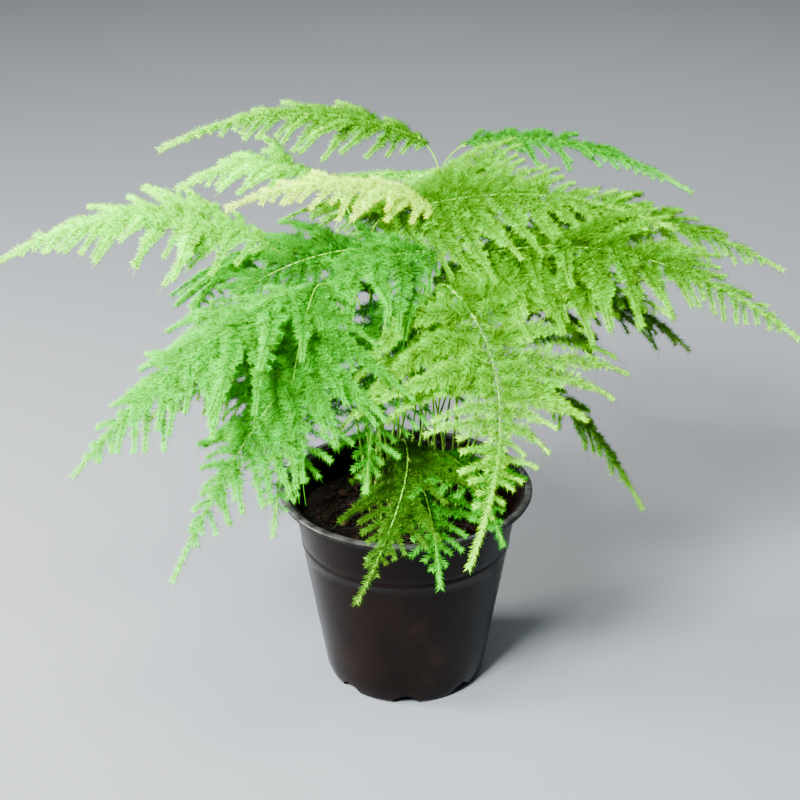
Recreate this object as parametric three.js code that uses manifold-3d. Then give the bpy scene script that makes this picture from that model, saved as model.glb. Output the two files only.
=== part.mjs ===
// A potted asparagus fern: a black nursery pot, the growing medium in it, and a
// clump of wiry stems that each arch over into one flat, feathery spray.
//
// Millimetres, +Z up. The origin is the centre of the pot's base, on the surface
// that the pot stands on. -Y is the front.
import * as THREE from "three";
import { mergeVertices } from "three/addons/utils/BufferGeometryUtils.js";
import Module from "manifold-3d";

// ---- driving dimensions ------------------------------------------------------

const RIM_RADIUS = 65; // outside of the rolled lip
const POT_HEIGHT = 108; // surface to the top of the rim
const BASE_RADIUS = 41; // outside of the wall at the base
const WALL = 1.4; // wall thickness
const FLOOR = 2; // floor thickness
const RIM_OVERHANG = 6.3; // lip beyond the line of the wall
const LIP_WIDTH = 3.6; // of the rolled lip, from its outside to its inside
const LIP_ROUND = 1.4; // radius of the lip's outer edge
const FLARE_DEPTH = 10; // of the flare that carries the lip
const RING_BELOW_RIM = 29; // stacking ring, measured down from the rim's top
const RING_HEIGHT = 0.5; // how far the stacking ring stands out
const RING_SPREAD = 1.2; // half its height up the wall
const BASE_ROUND = 4; // radius of the corner between wall and base

const NOTCHES = 8; // drain notches round the base corner
const NOTCH_WIDTH = 13;
const NOTCH_LENGTH = 11; // how far a notch reaches in from the wall
const NOTCH_SPRING = 2; // height where its sides turn into the arch
const NOTCH_CROWN = 10.2; // height of the arch's control point

const SOIL_DROP = 17; // top of the soil at the wall, below the rim's top
const SOIL_CROWN = 5; // rise of the soil towards the clump
const SOIL_CHAMFER = 2; // round the soil's foot, up the wall
const SOIL_CHAMFER_IN = 1; // and in from the wall

const STEM_RADIUS = 0.9;
const STEM_COLLAR = 1; // length that stands straight up out of the soil
const STEM_BURIED = 14; // length of each stem below the soil's surface
const STEM_STEPS = 12;
const STEM_SIDES = 6;
const STEM_RISE = 0.45; // how long a stem goes on straight up, over its length
const STEM_TURN = 0.22; // how early it turns into its spray, over its length
const CROWN_SCALE = 1; // spreads the stems' feet apart or draws them together

const SPRAY_THICKNESS = 1.1; // along the middle of a spray
const SPRAY_EDGE = 0.7; // at the tips of its side shoots
const SIDE_SHOOTS = 9; // on each side of a spray
const SHOOT_DROOP = 0.14; // fall of a side shoot's tip over its length
const NOTCH_SHARE = 0.36; // half-width between two side shoots, over their own
const WIDEST_AT = 0.2; // where along a spray its side shoots are longest
const FIRST_SHOOT = 0.62; // length of its first side shoots, over the longest
const LAST_SHOOT = 0.06; // and of its last ones
const END_SHARE = 0.05; // half-width of its two ends, over the shoots there

const CLEARANCE = 0.3; // between pieces that touch
const MARGIN = 3; // how far a cutting solid runs past what it cuts
const ROUND_SEGMENTS = 48;
const FLARE_TURNS = [0, 30, 60, 90]; // degrees, where the flare has its points

// One row for each frond, in x and y from the pot's axis and in height above the
// rim. root is where its stem leaves the soil, shoulder where the stem ends and the
// spray begins, and tip the spray's far end. arch and sweep bow the spray upwards
// and to its left, width is its longest side shoot, lean how far the shoots point
// forwards, roll turns the spray about its own length, in degrees, and taper above
// 1 gives it a slender end.
const USUAL = { sweep: 0, lean: 0.5, roll: 0, taper: 1.2 };
const FRONDS = [
  // towards the front and the right
  { root: [16, -10], shoulder: [22, -45, 124], tip: [28, -128, 26],
    arch: 22, sweep: 34, width: 88, lean: 0, roll: -11, taper: 2.1, leaf: "bright" },
  { root: [28, 2], shoulder: [42, -14, 132], tip: [180, -58, 106],
    arch: 34, sweep: 4, width: 60, roll: 12, leaf: "bright" },
  { root: [24, 16], shoulder: [70, 52, 128], tip: [192, 40, 102],
    arch: 22, width: 48, lean: 0.55, roll: 8, leaf: "bright" },
  { root: [15, 10], shoulder: [-8, 16, 140], tip: [130, 6, 136],
    arch: 28, width: 62, roll: 20, leaf: "bright" },
  { root: [26, -5], shoulder: [69, 20, 47], tip: [124, 10, -20],
    arch: 20, width: 26, taper: 1.5, leaf: "bright" },
  { root: [30, 10], shoulder: [81, 60, 83], tip: [153, 70, 44],
    arch: 20, width: 44, leaf: "deep" },
  { root: [22, -3], shoulder: [18, -8, 118], tip: [124, -40, 110],
    arch: 24, width: 54, roll: 14, leaf: "bright" },
  // over the middle and the back
  { root: [8, 24], shoulder: [38, 95, 154], tip: [152, 95, 125],
    arch: 22, width: 32, lean: 0.55, leaf: "mid" },
  { root: [-4, 22], shoulder: [3, 70, 164], tip: [-125, 60, 159],
    arch: 30, width: 40, lean: 0.55, roll: -6, leaf: "bright" },
  { root: [-6, 4], shoulder: [7, 10, 148], tip: [-85, -5, 150],
    arch: 22, width: 30, lean: 0.55, roll: -6, leaf: "golden" },
  { root: [12, 30], shoulder: [52, 60, 137], tip: [-54, 70, 138],
    arch: 14, width: 24, lean: 0.55, leaf: "pale" },
  { root: [4, -11], shoulder: [8, -24, 136], tip: [-48, -52, 112],
    arch: 18, width: 60, lean: 0.4, leaf: "mid" },
  { root: [-9, -3], shoulder: [-14, -12, 133], tip: [-106, -42, 98],
    arch: 24, width: 54, roll: -16, leaf: "mid" },
  // towards the left
  { root: [-17, 1], shoulder: [-74, -8, 138], tip: [-191, -22, 130],
    arch: 30, width: 50, lean: 0.45, roll: -8, leaf: "pale" },
  { root: [-15, 13], shoulder: [-45, 60, 144], tip: [-117, 60, 138],
    arch: 22, width: 40, lean: 0.55, leaf: "pale" },
  { root: [-14, -5], shoulder: [-8, -36, 114], tip: [-18, -102, 50],
    arch: 24, width: 56, leaf: "mid" },
  { root: [-18, -11], shoulder: [-48, -60, 126], tip: [-150, -95, 54],
    arch: 34, sweep: 10, width: 70, lean: 0.45, leaf: "mid" },
  { root: [-21, 7], shoulder: [-55, 40, 69], tip: [-139, 60, 7],
    arch: 20, width: 46, roll: -32, leaf: "deep" },
  // low at the front
  { root: [-12, -19], shoulder: [-34, -80, 115], tip: [-103, -130, 20],
    arch: 26, width: 56, lean: 0.45, taper: 1.5, leaf: "mid" },
  { root: [-7, -13], shoulder: [-42, -64, 130], tip: [-58, -128, 42],
    arch: 28, width: 56, lean: 0.3, taper: 1.3, leaf: "mid" },
  { root: [0, -20], shoulder: [0, -62, 54], tip: [-22, -112, -2],
    arch: 26, sweep: 18, width: 40, taper: 1.7, leaf: "deep" },
  { root: [12, -18], shoulder: [18, -55, 45], tip: [45, -98, 20],
    arch: 20, width: 34, taper: 1.5, leaf: "mid" },
  { root: [7, -24], shoulder: [8, -64, 32], tip: [16, -108, 4],
    arch: 16, width: 34, taper: 1.6, leaf: "mid" },
  // round the back
  { root: [14, 17], shoulder: [46, 74, 112], tip: [84, 148, 42],
    arch: 26, width: 58, lean: 0.45, leaf: "mid" },
  { root: [-4, 14], shoulder: [-8, 75, 126], tip: [-20, 152, 74],
    arch: 26, width: 56, lean: 0.45, leaf: "bright" },
  { root: [-11, 8], shoulder: [-60, 62, 106], tip: [-122, 125, 42],
    arch: 24, width: 55, lean: 0.45, leaf: "mid" },
  { root: [19, 22], shoulder: [52, 92, 70], tip: [112, 140, 4],
    arch: 22, width: 46, lean: 0.45, leaf: "deep" },
  { root: [-12, 19], shoulder: [-35, 88, 78], tip: [-72, 145, 8],
    arch: 22, width: 46, lean: 0.45, leaf: "deep" },
  { root: [3, 29], shoulder: [8, 82, 52], tip: [4, 130, -6],
    arch: 18, width: 38, lean: 0.45, leaf: "deep" },
].map((frond) => ({ ...USUAL, ...frond }));

// ---- colours ------------------------------------------------------------------

const MATERIALS = {
  pot: new THREE.MeshStandardMaterial({ color: 0x17181a, roughness: 0.32 }),
  soil: new THREE.MeshStandardMaterial({ color: 0x2b1a12, roughness: 0.95 }),
  stem: new THREE.MeshStandardMaterial({ color: 0x86b04a, roughness: 0.6 }),
  bright: new THREE.MeshStandardMaterial({ color: 0x8ed42e, roughness: 0.7 }),
  mid: new THREE.MeshStandardMaterial({ color: 0x58a832, roughness: 0.7 }),
  deep: new THREE.MeshStandardMaterial({ color: 0x3c7d30, roughness: 0.7 }),
  pale: new THREE.MeshStandardMaterial({ color: 0xa6d565, roughness: 0.7 }),
  golden: new THREE.MeshStandardMaterial({ color: 0xc4d548, roughness: 0.7 }),
};

// ---- solids -------------------------------------------------------------------

const library = await Module();
library.setup();

// A closed three.js geometry as a solid that can be joined and cut.
function solidFrom(geometry) {
  const bare = geometry.clone();
  bare.deleteAttribute("normal");
  bare.deleteAttribute("uv");
  const welded = mergeVertices(bare, 1e-4);
  return new library.Manifold(
    new library.Mesh({
      numProp: 3,
      vertProperties: welded.attributes.position.array,
      triVerts: new Uint32Array(welded.index.array),
    }),
  );
}

// The named mesh of a solid.
function meshOf(solid, name, material) {
  const { vertProperties, triVerts } = solid.getMesh();
  const geometry = new THREE.BufferGeometry();
  geometry.setAttribute("position", new THREE.BufferAttribute(vertProperties, 3));
  geometry.setIndex(new THREE.BufferAttribute(triVerts, 1));
  geometry.computeVertexNormals();
  const mesh = new THREE.Mesh(geometry, material);
  mesh.name = name;
  return mesh;
}

// A solid of revolution about Z from an outline of [radius, height] points.
function turned(outline) {
  const points = outline.map(([radius, height]) => new THREE.Vector2(radius, height));
  const geometry = new THREE.LatheGeometry(points, ROUND_SEGMENTS);
  geometry.rotateX(Math.PI / 2);
  return solidFrom(geometry);
}

// ---- pot ----------------------------------------------------------------------

// The wall's outside radius at a height above the surface.
function wallRadius(height) {
  const top = RIM_RADIUS - RIM_OVERHANG;
  return BASE_RADIUS + ((top - BASE_RADIUS) * height) / POT_HEIGHT;
}

// Points on a quarter or half circle in the outline's plane, angles in degrees.
function arc(centreRadius, centreHeight, radius, from, to, steps) {
  return Array.from({ length: steps + 1 }, (_, i) => {
    const angle = THREE.MathUtils.degToRad(from + ((to - from) * i) / steps);
    return [centreRadius + radius * Math.cos(angle), centreHeight + radius * Math.sin(angle)];
  });
}

// A curve that leaves the wall and flares out to a radius and height.
function flare(wall, from, radius, height) {
  return FLARE_TURNS.map((degrees) => {
    const angle = THREE.MathUtils.degToRad(degrees);
    const out = (radius - wall) * (1 - Math.cos(angle));
    return [wall + out, from + (height - from) * Math.sin(angle)];
  });
}

function potSolid() {
  const flareFoot = POT_HEIGHT - FLARE_DEPTH;
  const lipCentre = POT_HEIGHT - LIP_ROUND;
  const ringAt = POT_HEIGHT - RING_BELOW_RIM;
  const outside = [
    [0, 0],
    ...arc(BASE_RADIUS - BASE_ROUND, BASE_ROUND, BASE_ROUND, -90, -10, 3),
    [wallRadius(ringAt - RING_SPREAD), ringAt - RING_SPREAD],
    [wallRadius(ringAt) + RING_HEIGHT, ringAt],
    [wallRadius(ringAt + RING_SPREAD), ringAt + RING_SPREAD],
    ...flare(wallRadius(flareFoot), flareFoot, RIM_RADIUS - LIP_ROUND, lipCentre - LIP_ROUND),
    ...arc(RIM_RADIUS - LIP_ROUND, lipCentre, LIP_ROUND, -60, 90, 5),
  ];
  const inside = [
    ...flare(wallRadius(flareFoot) - WALL, flareFoot, RIM_RADIUS - LIP_WIDTH, POT_HEIGHT).reverse(),
    [wallRadius(FLOOR + BASE_ROUND) - WALL, FLOOR + BASE_ROUND],
    [BASE_RADIUS - BASE_ROUND - WALL, FLOOR],
    [0, FLOOR],
  ];
  let pot = turned([...outside, ...inside]);
  for (let i = 0; i < NOTCHES; i += 1) {
    pot = pot.subtract(notchSolid((2 * Math.PI * i) / NOTCHES));
  }
  return pot;
}

// An arched drain notch through the corner between wall and base.
function notchSolid(angle) {
  const opening = new THREE.Shape();
  opening.moveTo(-NOTCH_WIDTH / 2, -MARGIN);
  opening.lineTo(NOTCH_WIDTH / 2, -MARGIN);
  opening.lineTo(NOTCH_WIDTH / 2, NOTCH_SPRING);
  opening.quadraticCurveTo(0, NOTCH_CROWN, -NOTCH_WIDTH / 2, NOTCH_SPRING);
  opening.closePath();
  const geometry = new THREE.ExtrudeGeometry(opening, {
    depth: NOTCH_LENGTH + MARGIN,
    bevelEnabled: false,
    curveSegments: 5,
  });
  geometry.rotateX(Math.PI / 2);
  geometry.translate(0, BASE_RADIUS + MARGIN, 0);
  geometry.rotateZ(angle);
  return solidFrom(geometry);
}

// ---- soil ---------------------------------------------------------------------

const SOIL_TOP = POT_HEIGHT - SOIL_DROP;

// Height of the soil's surface at a distance from the pot's axis.
function soilHeight(radius) {
  const share = Math.min(1, radius / wallRadius(SOIL_TOP));
  return SOIL_TOP + SOIL_CROWN * Math.cos((share * Math.PI) / 2);
}

function soilSolid(roots) {
  const inset = WALL + CLEARANCE;
  const bottom = FLOOR + BASE_ROUND + CLEARANCE;
  const edge = wallRadius(SOIL_TOP) - inset;
  const outline = [
    [0, bottom],
    [wallRadius(bottom) - inset - SOIL_CHAMFER_IN, bottom],
    [wallRadius(bottom + SOIL_CHAMFER) - inset, bottom + SOIL_CHAMFER],
    ...[1, 0.85, 0.65, 0.4].map((share) => [edge * share, soilHeight(edge * share)]),
    [0, soilHeight(0)],
  ];
  let soil = turned(outline);
  for (const root of roots) {
    soil = soil.subtract(stemHole(root));
  }
  return soil;
}

// The hole that a stem stands in.
function stemHole([x, y]) {
  const length = STEM_BURIED + CLEARANCE + MARGIN;
  const geometry = new THREE.CylinderGeometry(
    STEM_RADIUS + CLEARANCE,
    STEM_RADIUS + CLEARANCE,
    length,
    STEM_SIDES + 2,
  );
  geometry.rotateX(Math.PI / 2);
  const surface = soilHeight(Math.hypot(x, y));
  geometry.translate(x, y, surface - STEM_BURIED - CLEARANCE + length / 2);
  return solidFrom(geometry);
}

// ---- fronds -------------------------------------------------------------------

const UP = new THREE.Vector3(0, 0, 1);

// The spray's midrib, from its shoulder to its tip.
function midrib({ shoulder, tip, arch, sweep }) {
  const rim = new THREE.Vector3(0, 0, POT_HEIGHT);
  const start = new THREE.Vector3(...shoulder).add(rim);
  const end = new THREE.Vector3(...tip).add(rim);
  const left = UP.clone().cross(end.clone().sub(start)).normalize();
  const bow = start.clone().add(end).multiplyScalar(0.5);
  bow.addScaledVector(UP, arch).addScaledVector(left, sweep);
  return new THREE.QuadraticBezierCurve3(start, bow, end);
}

// The stem: straight up through the soil, then over into the midrib.
function stemPath(frond) {
  const [x, y] = frond.root.map((value) => value * CROWN_SCALE);
  const surface = soilHeight(Math.hypot(x, y));
  const foot = new THREE.Vector3(x, y, surface - STEM_BURIED);
  const collar = new THREE.Vector3(x, y, surface + STEM_COLLAR);
  const rib = midrib(frond);
  const length = collar.distanceTo(rib.v0);
  const path = new THREE.CurvePath();
  path.add(new THREE.LineCurve3(foot, collar));
  path.add(
    new THREE.CubicBezierCurve3(
      collar,
      collar.clone().addScaledVector(UP, length * STEM_RISE),
      rib.v0.clone().addScaledVector(rib.getTangent(0), -length * STEM_TURN),
      rib.v0,
    ),
  );
  return path;
}

// A round bar along a path.
function tube(path, radius) {
  const section = new THREE.Shape();
  section.absarc(0, 0, radius, 0, 2 * Math.PI, false);
  const geometry = new THREE.ExtrudeGeometry(section, {
    steps: STEM_STEPS,
    curveSegments: STEM_SIDES / 2,
    extrudePath: path,
  });
  return solidFrom(geometry);
}

// Length of the side shoots at a share of the way along a spray, over the longest.
function outlineAt(share, taper) {
  if (share < WIDEST_AT) {
    return FIRST_SHOOT + ((1 - FIRST_SHOOT) * share) / WIDEST_AT;
  }
  const beyond = (share - WIDEST_AT) / (1 - WIDEST_AT);
  return LAST_SHOOT + (1 - LAST_SHOOT) * (1 - beyond) ** taper;
}

// A thin, saw-edged blade along the midrib: its teeth are the side shoots.
// grow makes the blade larger all round, for cutting clearances.
function spraySolid(frond, grow = 0) {
  const rib = midrib(frond);
  const stations = 2 * SIDE_SHOOTS;
  const gap = CLEARANCE / rib.getLength();
  const roll = THREE.MathUtils.degToRad(frond.roll);
  const points = [];
  for (let i = 0; i <= stations; i += 1) {
    const share = i / stations;
    const at = gap + (1 - gap) * share;
    const centre = rib.getPoint(at);
    const along = rib.getTangent(at);
    const left = UP.clone().cross(along).normalize().applyAxisAngle(along, roll);
    const above = along.clone().cross(left);
    const tooth = i % 2 ? 1 : NOTCH_SHARE;
    const ends = i === 0 || i === stations ? END_SHARE : 1;
    const reach = frond.width * outlineAt(share, frond.taper) * tooth * ends + grow;
    const section = [
      [-reach, SPRAY_EDGE],
      [0, SPRAY_THICKNESS],
      [reach, SPRAY_EDGE],
    ];
    for (const side of [1, -1]) {
      for (const [across, thickness] of section) {
        const sideways = Math.abs(across);
        points.push(
          centre
            .clone()
            .addScaledVector(left, across)
            .addScaledVector(along, sideways * frond.lean)
            .addScaledVector(above, side * (thickness / 2 + grow) - sideways * SHOOT_DROOP),
        );
      }
    }
  }
  return solidFrom(skin(points, stations));
}

// The closed surface over a blade's stations, each of three points above and
// three below, left to right.
function skin(points, stations) {
  const faces = [];
  const quad = (a, b, c, d) => faces.push(a, b, c, a, c, d);
  for (let i = 0; i < stations; i += 1) {
    const near = 6 * i;
    const far = near + 6;
    for (const column of [0, 1]) {
      quad(near + column, far + column, far + column + 1, near + column + 1);
      quad(near + column + 3, near + column + 4, far + column + 4, far + column + 3);
    }
    quad(near + 3, far + 3, far, near);
    quad(near + 2, far + 2, far + 5, near + 5);
  }
  const last = 6 * stations;
  for (const column of [0, 1]) {
    quad(column, column + 1, column + 4, column + 3);
    quad(last + column, last + column + 3, last + column + 4, last + column + 1);
  }
  const geometry = new THREE.BufferGeometry().setFromPoints(points);
  geometry.setIndex(faces);
  return geometry;
}

// What is left of a spray where stems and other sprays pass through it: its
// largest piece, notched round each of them.
function clearOf(spray, neighbours) {
  let left = spray;
  for (const neighbour of neighbours) {
    left = left.subtract(neighbour);
  }
  return left.decompose().sort((a, b) => b.volume() - a.volume())[0];
}

// ---- assembly -----------------------------------------------------------------

const plant = new THREE.Group();
plant.name = "potted_asparagus_fern";
plant.add(meshOf(potSolid(), "pot", MATERIALS.pot));
const roots = FRONDS.map(({ root }) => root.map((value) => value * CROWN_SCALE));
plant.add(meshOf(soilSolid(roots), "soil", MATERIALS.soil));

const stemPaths = FRONDS.map(stemPath);
const sheaths = stemPaths.map((path) => tube(path, STEM_RADIUS + 2 * CLEARANCE));
const envelopes = [];
FRONDS.forEach((frond, i) => {
  const number = String(i + 1).padStart(2, "0");
  const others = sheaths.filter((_, j) => j !== i);
  const spray = clearOf(spraySolid(frond), [...others, ...envelopes]);
  envelopes.push(spraySolid(frond, CLEARANCE));
  plant.add(meshOf(tube(stemPaths[i], STEM_RADIUS), `stem_${number}`, MATERIALS.stem));
  plant.add(meshOf(spray, `spray_${number}`, MATERIALS[frond.leaf]));
});

export default plant;
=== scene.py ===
import math

import bpy
import numpy as np
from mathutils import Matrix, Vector


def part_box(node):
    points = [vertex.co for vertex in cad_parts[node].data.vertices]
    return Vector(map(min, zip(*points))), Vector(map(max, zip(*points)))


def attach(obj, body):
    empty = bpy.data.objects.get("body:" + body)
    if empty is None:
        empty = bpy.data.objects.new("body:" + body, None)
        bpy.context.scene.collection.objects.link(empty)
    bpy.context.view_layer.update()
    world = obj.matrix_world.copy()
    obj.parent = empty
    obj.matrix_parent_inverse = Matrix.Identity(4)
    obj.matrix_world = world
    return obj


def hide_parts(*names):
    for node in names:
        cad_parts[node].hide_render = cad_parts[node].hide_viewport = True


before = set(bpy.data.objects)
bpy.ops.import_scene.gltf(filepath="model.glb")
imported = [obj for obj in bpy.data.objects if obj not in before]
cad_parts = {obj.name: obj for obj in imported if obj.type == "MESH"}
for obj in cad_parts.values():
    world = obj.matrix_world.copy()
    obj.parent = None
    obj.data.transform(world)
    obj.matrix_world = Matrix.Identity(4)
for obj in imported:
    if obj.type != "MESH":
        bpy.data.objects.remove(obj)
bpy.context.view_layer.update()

BODY = "root"
MM = 0.001
UP = np.array([0.0, 0.0, 1.0])
FULL_TURN = 2 * math.pi
FROND_SEED = 700
BED_SEED = 41
TONE_LIMITS = (0.004, 0.996)
MIDDLE = 0.5  # chance value of stems and fibres, whose materials make no use of it

# ---- sizes that follow the frame -----------------------------------------------

POT_LOW, POT_HIGH = (np.array(corner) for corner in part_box("pot"))
RIM_RADIUS = (POT_HIGH[0] - POT_LOW[0]) / 2
POT_HEIGHT = POT_HIGH[2]
SOIL_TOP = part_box("soil")[1][2]

# ---- sizes repeated from the CAD source, metres --------------------------------

BASE_RADIUS = 41 * MM
WALL = 1.4 * MM
FLOOR = 2 * MM
RIM_OVERHANG = 6.3 * MM
LIP_WIDTH = 3.6 * MM
LIP_ROUND = 1.4 * MM
FLARE_DEPTH = 10 * MM
RING_BELOW_RIM = 29 * MM
BASE_ROUND = 4 * MM
STEM_COLLAR = 1 * MM
NOTCHES = 8
NOTCH_WIDTH = 13 * MM
NOTCH_LENGTH = 11 * MM
NOTCH_SPRING = 2 * MM
NOTCH_CROWN = 10.2 * MM
SOIL_CROWN = 5 * MM
SOIL_LEVEL = SOIL_TOP - SOIL_CROWN
STEM_RISE = 0.45
STEM_TURN = 0.22
SHOOT_DROOP = 0.14
WIDEST_AT = 0.2
FIRST_SHOOT = 0.62

# One row for each frond, as in the CAD source, in millimetres from the pot's axis and
# above the rim: the stem's foot on the growing medium, the shoulder where the spray
# begins, the spray's tip, how far it arches up and sweeps sideways, its longest side
# shoot, the side shoots' lean, the spray's roll, the taper of its end, and its leaf.
# Two leaf kinds are lighter and darker copies of the foliage: painted light on high fronds at the
# left, and painted shade on low fronds under the rest.
FRONDS = [
    ((16, -10), (22, -45, 124), (28, -128, 26), 22, 34, 88, 0, -11, 2.1, "bright"),
    ((28, 2), (42, -14, 132), (180, -58, 106), 34, 4, 60, 0.5, 12, 1.2, "bright"),
    ((24, 16), (70, 52, 128), (192, 40, 102), 22, 0, 48, 0.55, 8, 1.2, "bright"),
    ((15, 10), (-8, 16, 140), (130, 6, 136), 28, 0, 62, 0.5, 20, 1.2, "bright"),
    ((26, -5), (69, 20, 47), (124, 10, -20), 20, 0, 26, 0.5, 0, 1.5, "bright"),
    ((30, 10), (81, 60, 83), (153, 70, 44), 20, 0, 44, 0.5, 0, 1.2, "deep"),
    ((22, -3), (18, -8, 118), (124, -40, 110), 24, 0, 54, 0.5, 14, 1.2, "bright"),
    ((8, 24), (38, 95, 154), (152, 95, 125), 22, 0, 32, 0.55, 0, 1.2, "mid"),
    ((-4, 22), (3, 70, 164), (-125, 60, 159), 30, 0, 40, 0.55, -6, 1.2, "bright"),
    ((-6, 4), (7, 10, 148), (-85, -5, 150), 22, 0, 30, 0.55, -6, 1.2, "golden"),
    ((12, 30), (52, 60, 137), (-54, 70, 138), 14, 0, 24, 0.55, 0, 1.2, "pale"),
    ((4, -11), (8, -24, 136), (-48, -52, 112), 18, 0, 60, 0.4, 0, 1.2, "mid"),
    ((-9, -3), (-14, -12, 133), (-106, -42, 98), 24, 0, 54, 0.5, -16, 1.2, "mid"),
    ((-17, 1), (-74, -8, 138), (-191, -22, 130), 30, 0, 50, 0.45, -8, 1.2, "pale"),
    ((-15, 13), (-45, 60, 144), (-117, 60, 138), 22, 0, 40, 0.55, 0, 1.2, "pale"),
    ((-14, -5), (-8, -36, 114), (-18, -102, 50), 24, 0, 56, 0.5, 0, 1.2, "mid"),
    ((-18, -11), (-48, -60, 126), (-150, -95, 54), 34, 10, 70, 0.45, 0, 1.2, "mid"),
    ((-21, 7), (-55, 40, 69), (-139, 60, 7), 20, 0, 46, 0.5, -32, 1.2, "deep"),
    ((-12, -19), (-34, -80, 115), (-103, -130, 20), 26, 0, 56, 0.45, 0, 1.5, "mid"),
    ((-7, -13), (-42, -64, 130), (-58, -128, 42), 28, 0, 56, 0.3, 0, 1.3, "mid"),
    ((0, -20), (0, -62, 54), (-22, -112, -2), 26, 18, 40, 0.5, 0, 1.7, "deep"),
    ((12, -18), (18, -55, 45), (45, -98, 20), 20, 0, 34, 0.5, 0, 1.5, "mid"),
    ((7, -24), (8, -64, 32), (16, -108, 4), 16, 0, 34, 0.5, 0, 1.6, "mid"),
    ((14, 17), (46, 74, 112), (84, 148, 42), 26, 0, 58, 0.45, 0, 1.2, "mid"),
    ((-4, 14), (-8, 75, 126), (-20, 152, 74), 26, 0, 56, 0.45, 0, 1.2, "bright"),
    ((-11, 8), (-60, 62, 106), (-122, 125, 42), 24, 0, 55, 0.45, 0, 1.2, "mid"),
    ((19, 22), (52, 92, 70), (112, 140, 4), 22, 0, 46, 0.45, 0, 1.2, "deep"),
    ((-12, 19), (-35, 88, 78), (-72, 145, 8), 22, 0, 46, 0.45, 0, 1.2, "deep"),
    ((3, 29), (8, 82, 52), (4, 130, -6), 18, 0, 38, 0.45, 0, 1.2, "deep"),
]

# painted light and shade, by frond number: a tone moved up (above zero) lightens a lit frond, and
# one moved down darkens a shaded frond, against the rest of its kind
PAINTED_LIGHT_SHADE = {
    1: 0.14, 2: -0.09, 3: -0.10, 7: 0.06, 12: -0.06,
    13: -0.14, 17: 0.04, 20: 0.03, 22: -0.14, 23: -0.14,
}

# ---- fine detail of the pot and the growing medium, metres ---------------------
# A pair with a comment that says "range" is the lowest and highest of a random draw.

# the stacking ring, lower and softer than the CAD's plain step of 0.5 mm
RING_HEIGHT = 0.35 * MM
RING_SPREAD = 1.7 * MM
POT_SIDES = 256
SHARP_FROM = 40  # degrees between faces from which an edge of the pot is sharp
LIP_INNER_ROUND = 0.7 * MM
LIP_WEAR_HIGHLIGHT_FROM = 1.6 * MM  # depth below the rim where its pale band of wear and painted highlight begins
LIP_WEAR_HIGHLIGHT_FULL = 0.3 * MM

BED_RINGS, BED_SIDES = 46, 168
BED_WAVES = 14
BED_ROUGH = 0.22 * MM
RUMPLE = 0.45 * MM
SOIL_GAP = 0.4 * MM  # between the bed and the pot's wall
SOIL_FOOT = 8.4 * MM  # height of the bed's underside
SOIL_SUNK = 0.8 * MM  # how far the bed lies below the CAD's surface, for the crumbs

CRUMBS = 1500
GRAIN = 1.1 * MM
GRAIN_SPREAD = 0.42
LARGEST_CRUMB = 3.2 * MM
CRUMB_SUNK = 0.7 * MM
CRUMB_SQUASH = 0.7

FIBRES = 300
FIBRE_INSET = 8 * MM
FIBRE_ARCH = 0.6 * MM
FIBRE_LENGTH = (4, 13)  # range, in millimetres
FIBRE_RADIUS = (0.12, 0.3)  # range, in millimetres
FIBRE_TONE = (0.55, 0.9)  # range

# ---- fine foliage, metres ------------------------------------------------------

BEND_SAMPLES = 24
RIB_SAMPLES = 80

# side shoots along a spray
SHOOT_SPACING = 3.1 * MM
WIDE_SPACING = 0.002  # share of the spray's width added to the spacing
SHOOT_JITTER = 0.5 * MM
STEM_LEAFY = 0.16  # share of the stem, at its upper end, that bears foliage too
SHORTER_ON_STEM = 1.2
FIRST_SPOT = 1 * MM
BARE_END = 0.03  # share of the midrib, at its end, that bears no side shoots
SHORTEST_SHOOT = 3.5 * MM
SHOOT_MOST = 1.06  # length of the longest shoots over the CAD's
SHOOT_VARIES = 0.5
LEAN_AT_FOOT = 0.45  # lean of the first shoots over the frond's own
SHOOT_STEP = 4 * MM
SHOOT_ANGLE_SPREAD = 0.11  # radians
SHOOT_LIFT_SPREAD = 0.10
SHOOT_SWING = 0.16  # how far a shoot's end bends forwards, over its length
SHOOT_WAVE = 0.035
SHOOT_WAVES = 5
SHOOT_SAG = (0.04, 0.16)  # range
STALK_RADIUS = (0.26, 0.10)  # at a shoot's foot and at its end, in millimetres

# short shoots that fill in along the midrib
SHORT_SPACING = 1.5 * MM
SHORT_SHOOT = 8.5 * MM
SHORT_SHARE = 0.14  # their length at most, as a share of the spray's width
SHORT_UNTIL = 0.66
SHORT_LEAN = (0.3, 1.0)  # range
SHORT_VARIES = (0.7, 1.25)  # range

# branchlets on a side shoot
BRANCHLET_SPACING = 1.2 * MM
BRANCHLET_JITTER = 0.3 * MM
FIRST_BRANCHLET = 1.2 * MM
BRANCHLET_SHARE = 0.19  # their length over the side shoot's
BRANCHLET_CUT = 1.2 * MM  # taken off that length, and the shortest that is drawn
BRANCHLET_LEAST = 0.8 * MM
BRANCHLET_LENGTH = 9.5 * MM
BRANCHLETS_UNTIL = 0.88
BRANCHLET_WIDTH = 0.3 * MM
BRANCHLET_LIFT = 0.24
FORK, FORK_SPREAD = 47, 7  # degrees off the shoot

# needles, in rings
CLUSTER_SPACING = 0.8 * MM
FIRST_CLUSTER = 0.7
STALK_CLUSTERS = 0.8 * MM
RIB_CLUSTERS = 4.0 * MM
RIB_END_CLUSTERS = 0.8 * MM
RIB_THICK_FROM = 0.55  # share of the midrib where its needles become thick
NEEDLES_EACH = 6
NEEDLE_LENGTH = 4.1 * MM
NEEDLE_WIDTH = 0.40 * MM
NEEDLE_VARIES = (0.75, 1.15)  # range
NEEDLE_TURN_SPREAD = 0.25  # radians
SPLAY, SPLAY_SPREAD = 52, 9  # degrees off the branchlet

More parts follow.
